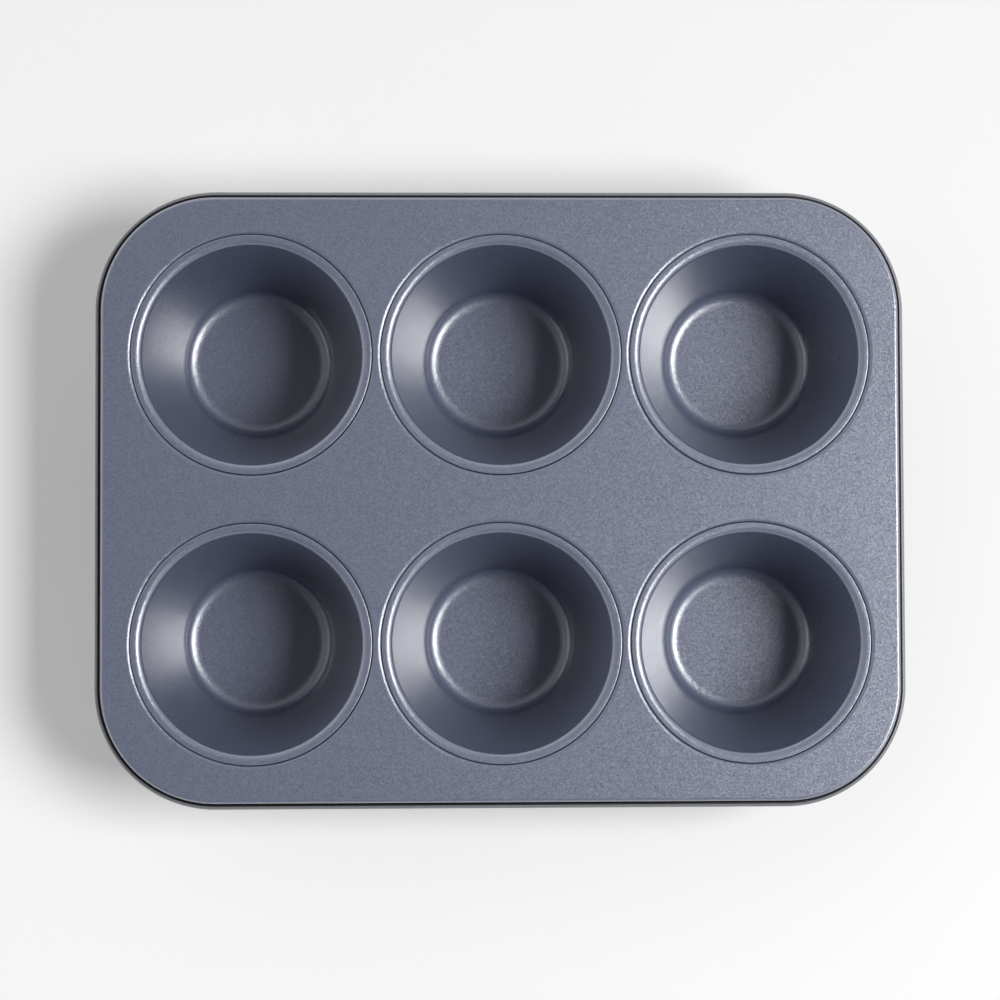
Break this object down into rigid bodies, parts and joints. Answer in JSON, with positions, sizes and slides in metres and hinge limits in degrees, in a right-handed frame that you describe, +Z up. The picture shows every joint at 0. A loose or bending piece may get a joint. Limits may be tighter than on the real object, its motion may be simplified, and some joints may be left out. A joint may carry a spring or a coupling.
{
  "type": "muffin pan",
  "caption": "Flat-decked metal baking pan with deep, round, tapered cups lock-seamed into it and a rounded rectangular rim rolled over wire.",
  "frame": {"origin": "centre of the pan's outline, on the plane that the undersides of the cups stand on", "axes": "+X along the long side, to the right in the picture; +Y away from the front row of cups, up in the picture; +Z up out of the cups"},
  "size_m": [0.3638, 0.2768, 0.0485],
  "materials": {
    "coated_steel": "slate-grey satin non-stick coating with a fine metallic fleck on sheet steel",
    "wire_steel": "dark phosphated steel wire"
  },
  "bodies": {
    "root": {"deck_frame": "coated_steel", "cup_front_left": "coated_steel", "cup_front_middle": "coated_steel", "cup_front_right": "coated_steel", "cup_back_left": "coated_steel", "cup_back_middle": "coated_steel", "cup_back_right": "coated_steel", "rim_wire": "wire_steel"}
  },
  "joints": []
}
